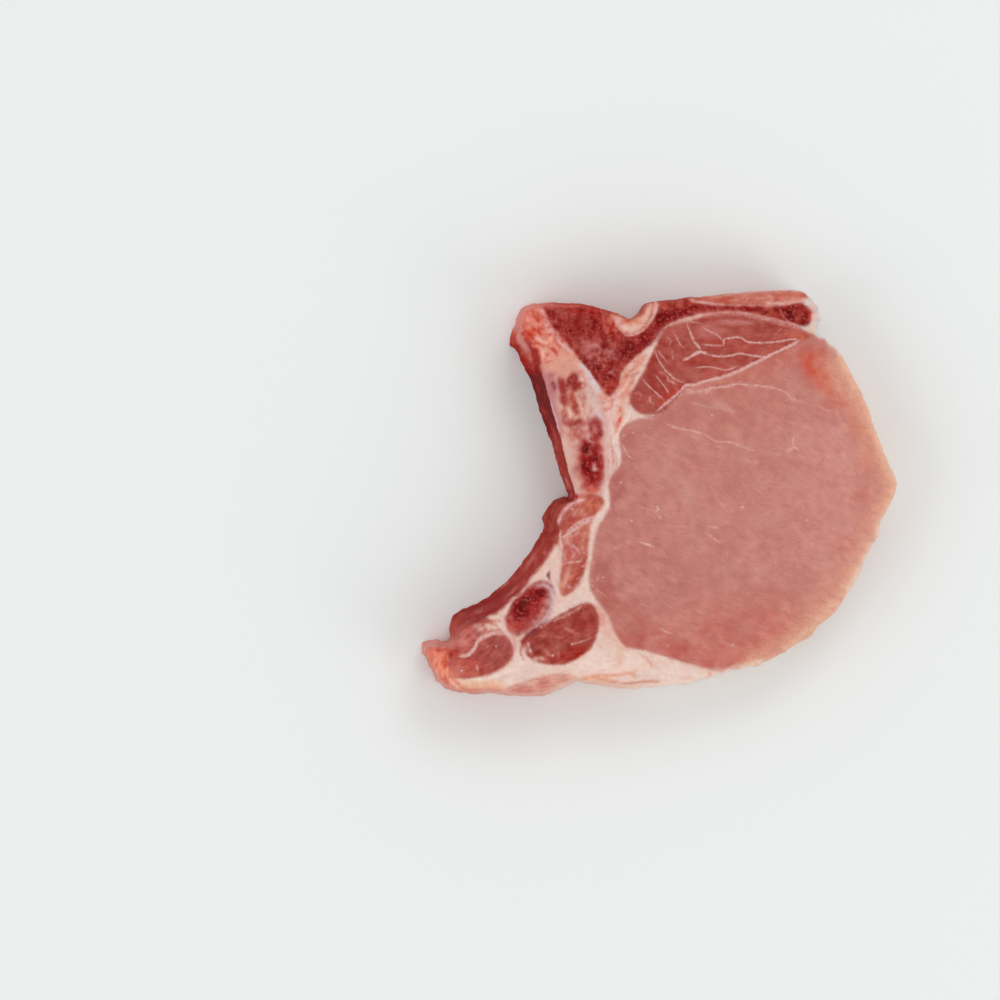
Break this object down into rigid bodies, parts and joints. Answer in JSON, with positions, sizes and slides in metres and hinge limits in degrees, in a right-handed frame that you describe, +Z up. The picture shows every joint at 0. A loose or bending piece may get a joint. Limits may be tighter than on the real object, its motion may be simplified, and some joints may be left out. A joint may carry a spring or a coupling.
{
  "type": "raw pork chop",
  "caption": "Raw bone-in pork loin chop, cut flat on both faces, with its loin muscles, sawn bones and a rim of fat.",
  "frame": {"origin": "middle of the chop's bounding rectangle, on the surface that its lower face rests on", "axes": "+Z up through the thickness, +X along the longest way across, from the thin tail towards the round side of the eye muscle, +Y towards the feather bone"},
  "size_m": [0.1378, 0.1202, 0.0208],
  "materials": {
    "fat": "moist raw fat",
    "eye_muscle": "moist raw meat",
    "multifidus_muscle": "moist raw meat",
    "ligament": "moist raw meat",
    "rib_head": "moist raw bone",
    "intercostal_muscle": "moist raw meat",
    "strip_muscle": "moist raw meat",
    "tip_cartilage": "moist raw meat",
    "feather_bone": "moist raw bone",
    "canal_fat": "moist raw fat",
    "rib_tip": "moist raw bone",
    "flank_muscle": "moist raw meat",
    "tail_muscle": "moist raw meat",
    "tail_end": "moist raw meat",
    "skirt_muscle": "moist raw meat"
  },
  "bodies": {
    "root": {"fat": "fat", "eye_muscle": "eye_muscle", "multifidus_muscle": "multifidus_muscle", "ligament": "ligament", "rib_head": "rib_head", "intercostal_muscle": "intercostal_muscle", "strip_muscle": "strip_muscle", "tip_cartilage": "tip_cartilage", "feather_bone": "feather_bone", "canal_fat": "canal_fat", "rib_tip": "rib_tip", "flank_muscle": "flank_muscle", "tail_muscle": "tail_muscle", "tail_end": "tail_end", "skirt_muscle": "skirt_muscle"}
  },
  "joints": []
}
